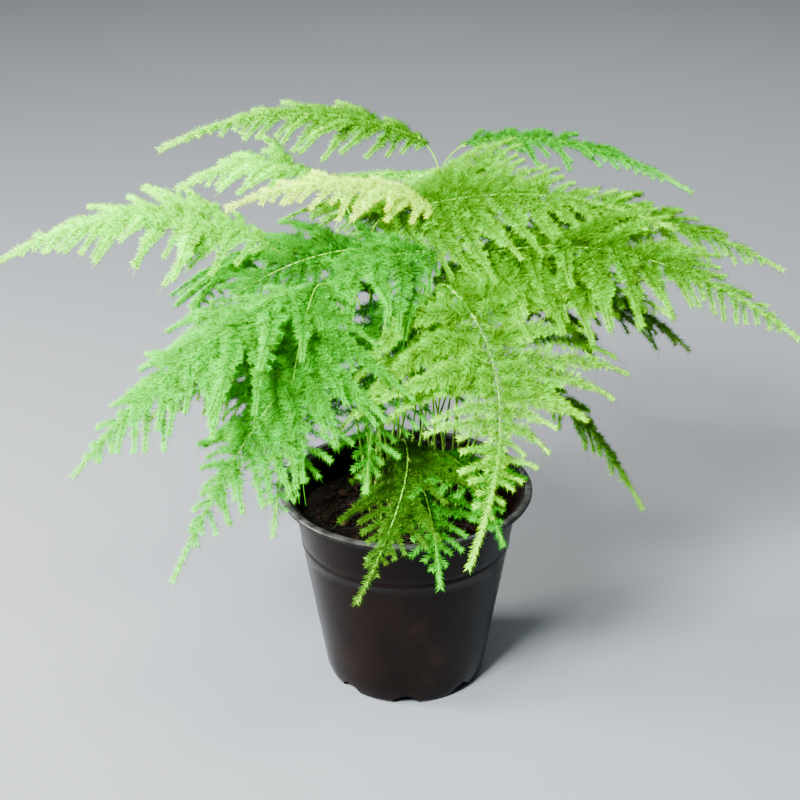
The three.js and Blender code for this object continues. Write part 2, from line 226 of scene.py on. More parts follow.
# tone, from 0 for old and inner foliage to 1 for the youngest: what it starts at, and
# what is added towards the end of a spray, a shoot, its stalk or a branchlet
YOUNG_UP_SPRAY = 0.30
YOUNG_UP_SHOOT = 0.42
YOUNG_UP_STALK = 0.62
YOUNG_UP_BRANCHLET = 0.30
BRANCHLET_YOUNGER = 0.1
STALK_TONE, STALK_YOUNGER = 0.25, 0.3
RIB_TONE, RIB_YOUNGER = 0.15, 0.72

# stems, thinner than the CAD's, which run on as the midribs
STEM_SAMPLES = 44
STEM_STEP = 2.2 * MM
STEM_SIDES = 7
STEM_RADIUS = 0.72 * MM  # at the foot
STEM_THINS = 0.44 * MM  # how much of it is lost by the end
STEM_BURIED = 12 * MM
STEM_FOOT_TONE = 0.02
STEM_GREENS = 2.2  # how fast the brown foot turns green
STEM_GREEN = 0.5
STEM_PALES = 0.45  # how much paler the end of the midrib is

# scaly nodes on the stems
NODE_GAP = (15, 21)  # range, in millimetres
FIRST_NODE = 16 * MM
NODES_UNTIL = 0.62
NODE_SIZE = 1.3 * MM
NODE_BULGE = 0.45
NODE_TONE = 0.95
SCALE_LENGTH = 3.2 * MM
SCALE_WIDTH = 1.1 * MM
SCALE_FOOT = 0.5 * MM  # from the stem's middle
SCALE_SPLAY = 0.35
SCALE_TURN = 2.4  # radians from one node's scale to the next
SCALE_TONE = 0.93


# ---- mesh helpers --------------------------------------------------------------

def unit(vectors):
    """Vectors scaled to length one, along the last axis."""
    length = np.linalg.norm(vectors, axis=-1, keepdims=True)
    return vectors / np.maximum(length, 1e-12)


def square_to(heading, askew):
    """Two unit vectors square to each heading and to each other."""
    across = unit(np.cross(heading, askew))
    return across, np.cross(heading, across)


def around(across, other, angle):
    """Directions at angles in the plane of two unit vectors."""
    return np.cos(angle)[..., None] * across + np.sin(angle)[..., None] * other


def placed(name, data):
    """A new object in the scene, at the origin."""
    new = bpy.data.objects.new(name, data)
    bpy.context.scene.collection.objects.link(new)
    return new


class Skin:
    """Vertices, triangles and two values a vertex, gathered piece by piece."""

    def __init__(self):
        self.verts, self.tris, self.tone, self.chance = [], [], [], []
        self.count = 0

    def add(self, verts, tris, tone, chance):
        """Takes in more vertices, and triangles that count from the first of them."""
        self.verts.append(verts.reshape(-1, 3))
        self.tris.append(tris.reshape(-1, 3) + self.count)
        self.tone.append(np.broadcast_to(tone, verts.shape[:-1]).ravel())
        self.chance.append(np.broadcast_to(chance, verts.shape[:-1]).ravel())
        self.count += self.verts[-1].shape[0]

    def shift_tone(self, amount):
        """Moves every tone by the same amount."""
        self.tone = [np.clip(tone + amount, *TONE_LIMITS) for tone in self.tone]

    def piece(self, name, material, smooth=False):
        """The gathered mesh as an object, with its values as attributes and as the bake's map."""
        verts = np.concatenate(self.verts)
        tris = np.concatenate(self.tris)
        tone = np.concatenate(self.tone)
        chance = np.concatenate(self.chance)
        mesh = bpy.data.meshes.new(name)
        mesh.vertices.add(len(verts))
        mesh.vertices.foreach_set("co", verts.astype(np.float32).ravel())
        mesh.loops.add(tris.size)
        mesh.loops.foreach_set("vertex_index", tris.astype(np.int32).ravel())
        mesh.polygons.add(len(tris))
        mesh.polygons.foreach_set("loop_start", np.arange(0, tris.size, 3, dtype=np.int32))
        mesh.update(calc_edges=True)
        for label, values in (("tone", tone), ("chance", chance)):
            layer = mesh.attributes.new(label, "FLOAT", "POINT")
            layer.data.foreach_set("value", values.astype(np.float32))
        corners = np.stack([tone, chance], axis=-1)[tris.ravel()]
        uv = mesh.uv_layers.new(name="OFBake")
        uv.data.foreach_set("uv", corners.astype(np.float32).ravel())
        if smooth:
            mesh.shade_smooth()
        mesh.materials.append(material)
        return placed(name, mesh)


def blended(points, u):
    """Control points weighed by their Bernstein polynomials at u."""
    order = len(points) - 1
    return sum(math.comb(order, i) * (1 - u) ** (order - i) * u**i * point
               for i, point in enumerate(points))


def bezier(points, share):
    """Points and tangents of a Bezier curve of any order at the given shares."""
    points = np.asarray(points, float)
    u = np.asarray(share, float)[:, None]
    steps = np.diff(points, axis=0) * (len(points) - 1)
    return blended(points, u), unit(blended(steps, u))


def walked(points):
    """How far along a path of points each of them is."""
    steps = np.linalg.norm(np.diff(points, axis=0), axis=1)
    return np.concatenate([[0.0], np.cumsum(steps)])


def along(points, tangents, distance):
    """Points and tangents at distances along a sampled path."""
    far = walked(points)
    where = [np.stack([np.interp(distance, far, values[:, k]) for k in range(3)], -1)
             for values in (points, tangents)]
    return where[0], unit(where[1])


def tube(skin, path, radius, tone, chance, sides=6):
    """A closed round bar along a path of points, with a radius and values at each point."""
    across, other = square_to(unit(np.gradient(path, axis=0)), [0.31, 0.87, 0.39])
    angle = np.linspace(0, FULL_TURN, sides, endpoint=False)
    ring = around(across[:, None], other[:, None], angle)
    verts = path[:, None] + ring * np.broadcast_to(radius, len(path))[:, None, None]
    verts = np.concatenate([verts.reshape(-1, 3), path[:1], path[-1:]])
    count = len(path)
    near = np.arange(count - 1)[:, None] * sides + np.arange(sides)
    side = np.arange(count - 1)[:, None] * sides + (np.arange(sides) + 1) % sides
    walls = np.stack([near, side, side + sides, near, side + sides, near + sides], -1)
    walls = walls.reshape(-1, 3)
    first, last = count * sides, count * sides + 1
    edge = np.arange(sides)
    turn = (edge + 1) % sides
    foot = np.stack([np.full(sides, first), turn, edge], -1)
    end = (count - 1) * sides
    head = np.stack([np.full(sides, last), end + edge, end + turn], -1)
    tone = np.broadcast_to(tone, count)
    values = np.concatenate([np.repeat(tone, sides), tone[:1], tone[-1:]])
    chance = np.clip(chance + 0.004 * np.sin(np.arange(len(verts)) * 2.4), 0.002, 0.998)
    skin.add(verts, np.concatenate([walls, foot, head]), values, chance)


def spikes(skin, origin, direction, length, width, tone, chance):
    """Closed three-sided spikes, each from its origin along its direction."""
    count = len(origin)
    if count == 0:
        return
    direction = unit(direction)
    across, other = square_to(direction, [0.21, -0.34, 0.92])
    turn = np.array([0.0, FULL_TURN / 3, FULL_TURN * 2 / 3])
    ring = around(across[:, None], other[:, None], turn)
    base = origin[:, None] + ring * (np.broadcast_to(width, count) / 2)[:, None, None]
    tip = (origin + direction * np.broadcast_to(length, count)[:, None])[:, None]
    verts = np.concatenate([base, tip], axis=1)
    faces = np.array([[0, 2, 1], [0, 1, 3], [1, 2, 3], [2, 0, 3]])
    tris = np.arange(count)[:, None, None] * 4 + faces
    tone = np.broadcast_to(tone, count)[:, None] + np.array([0.0, 0.004, 0.008, 0.06])
    chance = np.broadcast_to(chance, count)[:, None] + np.array([-0.006, 0.006, 0.0, 0.0])
    skin.add(verts, tris, np.clip(tone, 0.002, 0.998), np.clip(chance, 0.002, 0.998))


# ---- materials -----------------------------------------------------------------

LEAF_STOPS = (0.0, 0.38, 0.72, 0.94)
LEAF_HUES = (0.485, 0.512)
LEAF_VALUES = (0.32, 1.50)
# colour of the lip's pale band: wear, and a painted highlight along the rim
LIP_WEAR_HIGHLIGHT = (0.052, 0.058, 0.054, 1)


def material_nodes(name):
    """A new material with its Principled shader."""
    material = bpy.data.materials.new(name)
    material.use_nodes = True
    return material, material.node_tree.nodes, material.node_tree.links


def attribute(nodes, label):
    """The value of a named attribute."""
    node = nodes.new("ShaderNodeAttribute")
    node.attribute_name = label
    return node.outputs["Fac"]


def ramp(nodes, stops):
    """A colour ramp through the given places and colours."""
    node = nodes.new("ShaderNodeValToRGB")
    elements = node.color_ramp.elements
    stops = list(stops)
    while len(elements) < len(stops):
        elements.new(0.5)
    for element, (place, colour) in zip(elements, stops):
        element.position = place
        element.color = (*colour, 1.0)
    return node


def leaf_material(kind, inner, body, young, tip):
    """Needle foliage: dark inside the spray, lighter on young shoots, palest at the tips."""
    material, nodes, links = material_nodes("leaf_" + kind)
    shader = nodes["Principled BSDF"]
    growth = ramp(nodes, zip(LEAF_STOPS, (inner, body, young, tip)))
    links.new(attribute(nodes, "tone"), growth.inputs["Fac"])
    shade = nodes.new("ShaderNodeHueSaturation")
    links.new(growth.outputs["Color"], shade.inputs["Color"])
    for socket, (low, high) in (("Hue", LEAF_HUES), ("Value", LEAF_VALUES)):
        spread = nodes.new("ShaderNodeMapRange")
        spread.inputs["To Min"].default_value = low
        spread.inputs["To Max"].default_value = high
        links.new(attribute(nodes, "chance"), spread.inputs["Value"])
        links.new(spread.outputs["Result"], shade.inputs[socket])
    links.new(shade.outputs["Color"], shader.inputs["Base Color"])
    shader.inputs["Roughness"].default_value = 0.6
    shader.inputs["Specular IOR Level"].default_value = 0.01
    return material


def stem_material():
    """Wiry stem: brownish foot, green bark, pale yellow-green nodes and upper midrib."""
    material, nodes, links = material_nodes("stem_bark")
    shader = nodes["Principled BSDF"]
    colour = ramp(nodes, [(0.0, (0.04, 0.026, 0.012)), (0.1, (0.045, 0.07, 0.012)),
                          (0.4, (0.04, 0.12, 0.006)), (0.75, (0.12, 0.42, 0.004)),
                          (1.0, (0.34, 0.62, 0.02))])
    links.new(attribute(nodes, "tone"), colour.inputs["Fac"])
    links.new(colour.outputs["Color"], shader.inputs["Base Color"])
    shader.inputs["Roughness"].default_value = 0.5
    shader.inputs["Specular IOR Level"].default_value = 0.12
    return material


# each leaf's colours: inside the spray, its body, young shoots and tips
LEAF_COLOURS = {
    "bright": ((0.006, 0.040, 0.0003), (0.052, 0.25, 0.0004), (0.16, 0.62, 0.0005),
               (0.34, 1.0, 0.001)),
    "mid": ((0.005, 0.060, 0.002), (0.026, 0.27, 0.005), (0.055, 0.50, 0.009),
            (0.11, 0.78, 0.014)),
    # a darker copy of the foliage: painted shade for the low fronds under and behind the others
    "deep": ((0.004, 0.022, 0.001), (0.018, 0.085, 0.002), (0.045, 0.17, 0.004),
             (0.11, 0.30, 0.010)),
    # a lighter copy of the foliage: painted light for the high fronds on the left, towards the
    # lamps
    "pale": ((0.04, 0.24, 0.0003), (0.15, 0.72, 0.0004), (0.21, 0.84, 0.0005),
             (0.30, 0.92, 0.003)),
    "golden": ((0.18, 0.42, 0.0005), (0.42, 0.84, 0.0005), (0.54, 0.90, 0.0005),
               (0.68, 0.96, 0.003)),
}
LEAVES = {kind: leaf_material(kind, *colours) for kind, colours in LEAF_COLOURS.items()}
STEM = stem_material()


# ---- fronds --------------------------------------------------------------------

def soil_height(radius):
    """The growing medium's surface at a distance from the pot's axis."""
    share = np.minimum(1.0, radius / wall_radius(SOIL_LEVEL))
    return SOIL_LEVEL + SOIL_CROWN * np.cos(share * math.pi / 2)


def midrib(shoulder, tip, arch, sweep):
    """Control points of a spray's midrib, as in the CAD source."""
    start = np.array(shoulder) * MM + UP * POT_HEIGHT
    end = np.array(tip) * MM + UP * POT_HEIGHT
    left = unit(np.cross(UP, end - start))
    bow = (start + end) / 2 + UP * arch * MM + left * sweep * MM
    return np.array([start, bow, end])


def stem_curve(foot, rib):
    """Control points of a stem above the soil, as in the CAD source."""
    x, y = np.array(foot) * MM
    collar = np.array([x, y, soil_height(math.hypot(x, y)) + STEM_COLLAR])
    length = np.linalg.norm(rib[0] - collar)
    turn = unit(rib[1] - rib[0])
    return np.array([collar, collar + UP * length * STEM_RISE,
                     rib[0] - turn * length * STEM_TURN, rib[0]])


def shoot_share(place, taper):
    """Length of the side shoots at a share of the way along a spray, over the longest."""
    rise = FIRST_SHOOT + (1 - FIRST_SHOOT) * place / WIDEST_AT
    beyond = np.clip((place - WIDEST_AT) / (1 - WIDEST_AT), 0, 1)
    return np.where(place < WIDEST_AT, rise, (1 - beyond) ** taper)


def rolled(axis, vectors, angle):
    """Vectors turned about unit axes."""
    return (vectors * math.cos(angle) + np.cross(axis, vectors) * math.sin(angle)
            + axis * np.sum(axis * vectors, axis=-1, keepdims=True) * (1 - math.cos(angle)))


def facing(ahead, level, roll):
    """The spray's left and its upper side at each heading, rolled about the heading."""
    left = unit(level - ahead * np.sum(ahead * level, axis=1, keepdims=True))
    left = rolled(ahead, left, roll)
    return left, np.cross(ahead, left)


def clusters(skin, points, heading, tone, chance, rng, length=NEEDLE_LENGTH):
    """A ring of needles at each point, splayed forwards round its heading."""
    count = len(points)
    if count == 0:
        return
    points = np.repeat(points, NEEDLES_EACH, axis=0)
    heading = unit(np.repeat(heading, NEEDLES_EACH, axis=0))
    spacing = FULL_TURN / NEEDLES_EACH
    turn = rng.uniform(0, FULL_TURN, count)[:, None] + np.arange(NEEDLES_EACH) * spacing
    turn = (turn + rng.normal(0, NEEDLE_TURN_SPREAD, turn.shape)).ravel()
    across, other = square_to(heading, [0.13, 0.29, 0.95])
    splay = np.radians(rng.normal(SPLAY, SPLAY_SPREAD, len(turn)))
    direction = around(heading, around(across, other, turn), splay)
    reach = np.repeat(np.broadcast_to(length, count), NEEDLES_EACH)
    reach = reach * rng.uniform(*NEEDLE_VARIES, len(turn))
    spikes(skin, points, direction, reach, NEEDLE_WIDTH,
           np.repeat(tone, NEEDLES_EACH), np.repeat(chance, NEEDLES_EACH))


def side_shoot(skin, start, ahead, left, above, side, length, lean, place, rng):
    """One side shoot: its stalk, its branchlets and their needles."""
    angle = math.atan(lean) + rng.normal(0, SHOOT_ANGLE_SPREAD)
    out = left * side * math.cos(angle) + ahead * math.sin(angle)
    out = out + above * rng.normal(0, SHOOT_LIFT_SPREAD)
    steps = max(5, int(length / SHOOT_STEP))
    v = np.linspace(0, 1, steps)[:, None]
    wave = rng.normal(0, SHOOT_WAVE)
    swing = ahead * (SHOOT_SWING * v**2 + wave * np.sin(v * SHOOT_WAVES))
    path = start + length * (out * v + swing - above * SHOOT_DROOP * v**2)
    path = path - UP * length * rng.uniform(*SHOOT_SAG) * v**3
    tangent = unit(np.gradient(path, axis=0))
    radius = np.linspace(*STALK_RADIUS, steps) * MM
    stalk_tone = STALK_TONE + STALK_YOUNGER * place
    tube(skin, path, radius, stalk_tone, rng.uniform(0.3, 0.7), sides=3)

    # branchlets, alternating left and right in the spray's plane
    spots = np.arange(FIRST_BRANCHLET, length, BRANCHLET_SPACING)
    spots = spots + rng.normal(0, BRANCHLET_JITTER, len(spots))
    at, heading = along(path, tangent, spots)
    share = np.clip(spots / length, 0, 1)
    hand = np.where(np.arange(len(spots)) % 2, 1.0, -1.0)[:, None]
    across = unit(np.cross(heading, above))
    fork = np.radians(rng.normal(FORK, FORK_SPREAD, len(spots)))[:, None]
    lift = rng.normal(0, BRANCHLET_LIFT, len(spots))[:, None]
    branch = unit(heading * np.cos(fork) + across * hand * np.sin(fork) + above * lift)
    longest = BRANCHLET_SHARE * length - BRANCHLET_CUT
    longest = min(max(longest, BRANCHLET_LEAST), BRANCHLET_LENGTH)
    fading = np.clip(1 - share / BRANCHLETS_UNTIL, 0, 1) ** 0.7
    reach = longest * np.clip(share * 4 + 0.7, 0, 1) * fading * rng.uniform(0.45, 1.2, len(spots))
    keep = reach > BRANCHLET_CUT
    at, branch, reach, share = at[keep], branch[keep], reach[keep], share[keep]
    chance = np.clip(rng.normal(0.5, 0.2, len(at)), 0.03, 0.97)
    young = YOUNG_UP_SPRAY * place + YOUNG_UP_SHOOT * share
    spikes(skin, at, branch, reach, BRANCHLET_WIDTH, young + BRANCHLET_YOUNGER, chance)

    # needles along the branchlets
    number = np.maximum(1, (reach / CLUSTER_SPACING).astype(int))
    owner = np.repeat(np.arange(len(at)), number)
    order = np.arange(number.sum()) - np.repeat(np.cumsum(number) - number, number)
    part = (order + FIRST_CLUSTER) / number[owner]
    points = at[owner] + branch[owner] * (reach[owner] * part)[:, None]
    tone = young[owner] + YOUNG_UP_BRANCHLET * part
    clusters(skin, points, branch[owner], tone, chance[owner], rng,
             NEEDLE_LENGTH * (1.05 - 0.35 * share[owner]) * (1.05 - 0.25 * part))

    # needles on the stalk itself, and a tuft at its end
    even = np.linspace(0.02, 1, max(4, int(length / STALK_CLUSTERS)))
    spots = length * (1 - (1 - even) ** 1.25)
    at, heading = along(path, tangent, spots)
    share = np.clip(spots / length, 0, 1)
    tone = YOUNG_UP_SPRAY * place + YOUNG_UP_STALK * share
    clusters(skin, at, heading, tone, rng.uniform(0.2, 0.8, len(at)), rng,
             NEEDLE_LENGTH * (1.1 - 0.4 * share))


def spray(skin, row, rib, rng):
    """All the foliage of one frond: from the stem's bend on to the midrib's end."""
    width, lean, roll, taper = row[5] * MM, row[6], math.radians(row[7]), row[8]
    leafy = np.linspace(1 - STEM_LEAFY, 1, BEND_SAMPLES)
    bend, bend_heading = bezier(stem_curve(row[0], rib), leafy)
    points, tangents = bezier(rib, np.linspace(0, 1, RIB_SAMPLES))
    points = np.concatenate([bend[:-1], points])
    tangents = np.concatenate([bend_heading[:-1], tangents])
    steps = np.linalg.norm(np.diff(points, axis=0), axis=1)
    total, bare = steps.sum(), steps[:BEND_SAMPLES - 1].sum()
    spacing = SHOOT_SPACING + WIDE_SPACING * width
    spots = np.arange(FIRST_SPOT, total - BARE_END * (total - bare), spacing)
    spots = spots + rng.normal(0, SHOOT_JITTER, len(spots))
    at, ahead = along(points, tangents, spots)
    level = unit(np.cross(UP, rib[2] - rib[0]))
    left, above = facing(ahead, level, roll)
    for k, spot in enumerate(spots):
        place = (spot - bare) / (total - bare)
        grown = float(shoot_share(max(place, 0.0), taper))
        grown *= 1 + SHORTER_ON_STEM * min(place, 0.0) * total / bare
        length = width * grown * (SHOOT_MOST - SHOOT_VARIES * rng.uniform(0, 1) ** 2.5)
        if length > SHORTEST_SHOOT:
            side_shoot(skin, at[k], ahead[k], left[k], above[k], 1 if k % 2 else -1, length,
                       lean * (LEAN_AT_FOOT + max(place, 0.0)), max(place, 0.0), rng)

    # short shoots between the long ones, filling in along the midrib
    spots = np.arange(bare * 0.6, bare + SHORT_UNTIL * (total - bare), SHORT_SPACING)
    at, ahead = along(points, tangents, spots)
    left, above = facing(ahead, level, roll)
    for k, spot in enumerate(spots):
        place = max((spot - bare) / (total - bare), 0.0)
        length = min(SHORT_SHOOT, SHORT_SHARE * width) * rng.uniform(*SHORT_VARIES)
        length *= 1 - 0.5 * place
        side_shoot(skin, at[k], ahead[k], left[k], above[k], 1 if k % 2 else -1, length,
                   rng.uniform(*SHORT_LEAN), place, rng)

    # needles straight on the midrib, thick on its slender end
    ribs = total - bare
    thick = ribs * RIB_THICK_FROM
    spots = bare + np.concatenate([np.arange(FIRST_SPOT, thick, RIB_CLUSTERS),
                                   np.arange(thick, ribs, RIB_END_CLUSTERS)])
    at, ahead = along(points, tangents, spots)
    place = (spots - bare) / ribs
    tone = RIB_TONE + RIB_YOUNGER * place**1.5
    clusters(skin, at, ahead, tone, rng.uniform(0.25, 0.8, len(at)), rng,
             NEEDLE_LENGTH * (1.0 - 0.1 * place))


def stem(skin, foot, rib, rng):
    """The wiry stem with its scaly nodes, running on as the midrib."""
    curve = stem_curve(foot, rib)
    below = curve[0] - UP * STEM_BURIED
    shares = np.linspace(0, 1, STEM_SAMPLES)
    rise, _ = bezier(curve, shares)
    over, _ = bezier(rib, shares[1:])
    path = np.concatenate([[below], rise, over])
    far = walked(path)
    total = far[-1]
    even = np.linspace(0, total, int(total / STEM_STEP))
    path = np.stack([np.interp(even, far, path[:, k]) for k in range(3)], -1)
    share = even / total
    radius = STEM_RADIUS - STEM_THINS * share**0.7
    tone = np.clip(STEM_FOOT_TONE + share * STEM_GREENS, 0, STEM_GREEN)
    tone = tone + STEM_PALES * share**2
    gap = rng.uniform(*NODE_GAP) * MM
    nodes_at = np.arange(FIRST_NODE, total * NODES_UNTIL, gap)
    for node in nodes_at:
        near = np.exp(-(((even - node) / NODE_SIZE) ** 2))
        radius = radius * (1 + NODE_BULGE * near)
        tone = np.maximum(tone, near * NODE_TONE)
    tube(skin, path, radius, np.clip(tone, *TONE_LIMITS), MIDDLE, sides=STEM_SIDES)
    at, heading = along(path, unit(np.gradient(path, axis=0)), nodes_at)
    turn = np.arange(len(nodes_at)) * SCALE_TURN
    aside = around(*square_to(heading, [0.3, 0.9, 0.1]), turn)
    spikes(skin, at + aside * SCALE_FOOT, heading + aside * SCALE_SPLAY,
           SCALE_LENGTH, SCALE_WIDTH, SCALE_TONE, MIDDLE)


def build_fronds():
    """Each row of FRONDS as one piece of foliage and one stem."""
    for number, row in enumerate(FRONDS, start=1):
        rng = np.random.default_rng(FROND_SEED + number)
        rib = midrib(row[1], row[2], row[3], row[4])
        foliage, bark = Skin(), Skin()
        spray(foliage, row, rib, rng)
        # painted light and shade: the frond's tone moves up where it is lit and down where it is
        # shaded
        foliage.shift_tone(PAINTED_LIGHT_SHADE.get(number, 0.0))
        stem(bark, row[0], rib, rng)
        label = f"{number:02d}"
        leaf = foliage.piece("Foliage_" + label, LEAVES[row[9]])
        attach(leaf, BODY)
        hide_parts("spray_" + label)
        stalk = bark.piece("Stem_" + label, STEM, smooth=True)
        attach(stalk, BODY)
        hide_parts("stem_" + label)


# ---- pot and growing medium ----------------------------------------------------

def plastic():
    """Black moulded plastic: a little brown and dusty, glossy where it is clean, with a pale band
    round the lip that is partly wear and partly a painted highlight.
    """
    material, nodes, links = material_nodes("pot_plastic")
    shader = nodes["Principled BSDF"]
    place = nodes.new("ShaderNodeTexCoord").outputs["Object"]

    def noise(scale, detail, stretch=(1, 1, 1)):
        mapping = nodes.new("ShaderNodeMapping")
        mapping.inputs["Scale"].default_value = stretch
        links.new(place, mapping.inputs["Vector"])
        node = nodes.new("ShaderNodeTexNoise")
        node.inputs["Scale"].default_value = scale
        node.inputs["Detail"].default_value = detail
        links.new(mapping.outputs["Vector"], node.inputs["Vector"])
        return node.outputs["Fac"]

    def ranged(value, low, high, start, end):
        node = nodes.new("ShaderNodeMapRange")
        node.inputs["From Min"].default_value = low
        node.inputs["From Max"].default_value = high
        node.inputs["To Min"].default_value = start
        node.inputs["To Max"].default_value = end
        links.new(value, node.inputs["Value"])
        return node.outputs["Result"]

    dust = ranged(noise(30, 6), 0.42, 0.72, 0, 1)
    colour = ramp(nodes, [(0.0, (0.0020, 0.0007, 0.0004)), (0.6, (0.0036, 0.0014, 0.0008)),
                          (1.0, (0.0090, 0.0046, 0.0030))])
    links.new(dust, colour.inputs["Fac"])
    height = nodes.new("ShaderNodeSeparateXYZ")
    links.new(place, height.inputs["Vector"])
    # a pale band round the lip: partly wear, partly a painted highlight along the rim
    lip = ranged(height.outputs["Z"], POT_HEIGHT - LIP_WEAR_HIGHLIGHT_FROM, POT_HEIGHT - LIP_WEAR_HIGHLIGHT_FULL, 0, 1)
    wear_highlight = nodes.new("ShaderNodeMath")
    wear_highlight.operation = "MULTIPLY"
    links.new(lip, wear_highlight.inputs[0])
    links.new(ranged(noise(140, 4), 0.38, 0.62, 0.25, 1), wear_highlight.inputs[1])
    with_wear_highlight = nodes.new("ShaderNodeMix")
    with_wear_highlight.data_type = "RGBA"
    links.new(wear_highlight.outputs["Value"], with_wear_highlight.inputs["Factor"])
    links.new(colour.outputs["Color"], with_wear_highlight.inputs["A"])
    with_wear_highlight.inputs["B"].default_value = LIP_WEAR_HIGHLIGHT
    links.new(with_wear_highlight.outputs["Result"], shader.inputs["Base Color"])
    streaks = ranged(noise(70, 5, (1, 1, 0.12)), 0.35, 0.7, 0.20, 0.40)
    links.new(streaks, shader.inputs["Roughness"])
    grain = nodes.new("ShaderNodeBump")
    grain.inputs["Strength"].default_value = 0.12
    grain.inputs["Distance"].default_value = 0.0006
    links.new(noise(900, 2), grain.inputs["Height"])
    links.new(grain.outputs["Normal"], shader.inputs["Normal"])
    shader.inputs["Specular IOR Level"].default_value = 0.10
    return material


def ground():
    """Coco-peat mix: near-black humus with reddish-brown coir and tan flecks."""
    material, nodes, links = material_nodes("growing_medium")
    shader = nodes["Principled BSDF"]
    colour = ramp(nodes, [(0.0, (0.002, 0.0012, 0.0008)), (0.35, (0.006, 0.003, 0.0018)),
                          (0.65, (0.018, 0.0078, 0.0036)), (0.85, (0.06, 0.022, 0.009)),
                          (1.0, (0.15, 0.09, 0.05))])
    links.new(attribute(nodes, "tone"), colour.inputs["Fac"])
    links.new(colour.outputs["Color"], shader.inputs["Base Color"])
    shader.inputs["Roughness"].default_value = 0.9
    shader.inputs["Specular IOR Level"].default_value = 0.2
    return material


def wall_radius(height):
    """The pot's outer radius at a height, along the straight wall."""
    top = RIM_RADIUS - RIM_OVERHANG
    return BASE_RADIUS + (top - BASE_RADIUS) * height / POT_HEIGHT


def arc(centre, radius, start, end, steps):
    """Points on part of a circle in a lathe outline, angles in degrees."""
    angle = np.radians(np.linspace(start, end, steps + 1))
    return [(centre[0] + radius * math.cos(a), centre[1] + radius * math.sin(a)) for a in angle]


def flare(wall, foot, radius, height, steps=14):
    """A curve that leaves the wall and flares out to a radius and height."""
    angle = np.linspace(0, math.pi / 2, steps + 1)
    return [(wall + (radius - wall) * (1 - math.cos(a)), foot + (height - foot) * math.sin(a))
            for a in angle]


def pot_outline():
    """Outside from the base's centre up to the lip, then down the inside."""
    foot = POT_HEIGHT - FLARE_DEPTH
    ring = POT_HEIGHT - RING_BELOW_RIM
    centre = POT_HEIGHT - LIP_ROUND
    outline = [(0.0, 0.0), (BASE_RADIUS * 0.5, 0.0)]
    outline += arc((BASE_RADIUS - BASE_ROUND, BASE_ROUND), BASE_ROUND, -90, -8, 8)
    wall = np.linspace(BASE_ROUND + 2 * MM, ring - RING_SPREAD, 14)
    outline += [(wall_radius(h), h) for h in wall]
    for lift in np.linspace(-0.8, 0.8, 9):
        swell = RING_HEIGHT * math.cos(lift * math.pi / 2)
        outline.append((wall_radius(ring) + swell, ring + lift * RING_SPREAD))
    wall = np.linspace(ring + RING_SPREAD, foot - 1 * MM, 5)
    outline += [(wall_radius(h), h) for h in wall]
    outline += flare(wall_radius(foot), foot, RIM_RADIUS - LIP_ROUND, centre - LIP_ROUND)
    outline += arc((RIM_RADIUS - LIP_ROUND, centre), LIP_ROUND, -80, 90, 12)
    inner_round = (RIM_RADIUS - LIP_WIDTH + LIP_INNER_ROUND, POT_HEIGHT - LIP_INNER_ROUND)
    outline += arc(inner_round, LIP_INNER_ROUND, 90, 180, 5)
    inner = flare(wall_radius(foot) - WALL, foot, RIM_RADIUS - LIP_WIDTH, POT_HEIGHT - 1.2 * MM)
    outline += inner[::-1]
    wall = np.linspace(foot - 1 * MM, FLOOR + BASE_ROUND, 12)
    outline += [(wall_radius(h) - WALL, h) for h in wall]
    corner = (BASE_RADIUS - BASE_ROUND - WALL, FLOOR + BASE_ROUND)
    outline += arc(corner, BASE_ROUND - 0.6 * MM, -8, -90, 6)
    outline += [(0.0, FLOOR + 0.6 * MM)]
    return outline


def lathe(outline, sides, name):
    """A closed solid of revolution about Z."""
    inner = [p for p in outline if p[0] > 1e-9]
    angle = np.arange(sides) * 2 * math.pi / sides
    verts = [(r * math.cos(a), r * math.sin(a), h) for r, h in inner for a in angle]
    foot, head = len(verts), len(verts) + 1
    verts += [(0, 0, outline[0][1]), (0, 0, outline[-1][1])]
    faces = []
    for i in range(len(inner) - 1):
        for k in range(sides):
            near, side = i * sides + k, i * sides + (k + 1) % sides
            faces.append((near, side, side + sides, near + sides))
    last = (len(inner) - 1) * sides
    for k in range(sides):
        faces.append((foot, (k + 1) % sides, k))
        faces.append((head, last + k, last + (k + 1) % sides))
    mesh = bpy.data.meshes.new(name)
    mesh.from_pydata(verts, [], faces)
    mesh.update()
    return placed(name, mesh)


def notch_cutters():
    """The arched drain notches, as one mesh of closed prisms."""
    half = NOTCH_WIDTH / 2
    opening = [(-half, -3 * MM), (half, -3 * MM)]
    for u in np.linspace(0, 1, 15):
        across = half * (1 - 2 * u)
        height = NOTCH_SPRING * ((1 - u) ** 2 + u**2) + 2 * u * (1 - u) * NOTCH_CROWN
        opening.append((across, height))
    count = len(opening)
    verts, faces = [], []
    for i in range(NOTCHES):
        turn = 2 * math.pi * i / NOTCHES
        cos, sin = math.cos(turn), math.sin(turn)
        start = len(verts)
        for depth in (BASE_RADIUS - NOTCH_LENGTH, BASE_RADIUS + 3 * MM):
            verts += [(x * cos - depth * sin, x * sin + depth * cos, z) for x, z in opening]
        faces.append(tuple(start + k for k in range(count)))
        faces.append(tuple(start + count + k for k in reversed(range(count))))
        for k in range(count):
            after = (k + 1) % count
            faces.append((start + k, start + count + k, start + count + after, start + after))
    mesh = bpy.data.meshes.new("Notches")
    mesh.from_pydata(verts, [], faces)
    return placed("Notches", mesh)


